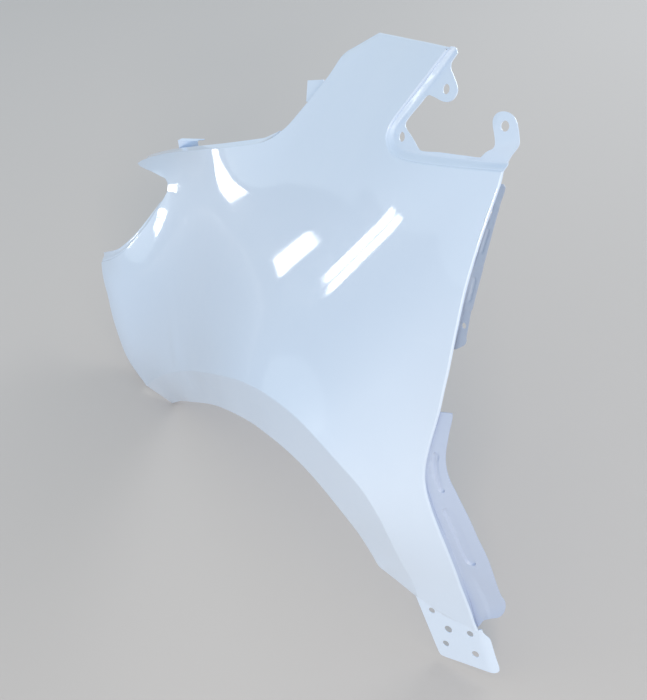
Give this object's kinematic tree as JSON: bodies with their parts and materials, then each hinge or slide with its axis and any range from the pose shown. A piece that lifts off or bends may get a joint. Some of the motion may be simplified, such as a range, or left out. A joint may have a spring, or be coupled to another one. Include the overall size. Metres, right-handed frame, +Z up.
{
  "type": "car fender",
  "caption": "Front left car fender: one pressed, painted sheet with a wheel arch band, a headlamp cut-out, a quarter glass notch with bolt tabs, door edge flanges and a lower bolt plate.",
  "frame": {"origin": "on the inner face of the lower plate, between its bolt holes", "axes": "+X towards the rear of the car, +Y inboard, +Z up; the panel keeps the pose of the picture, stood on its lower plate and nose corner, pitched about 15 degrees nose down from how it sits on a car"},
  "size_m": [1.002, 0.2711, 0.6504],
  "materials": {
    "paint": "glossy pale ice blue paint"
  },
  "bodies": {
    "root": {"fender_panel": "paint"}
  },
  "joints": []
}
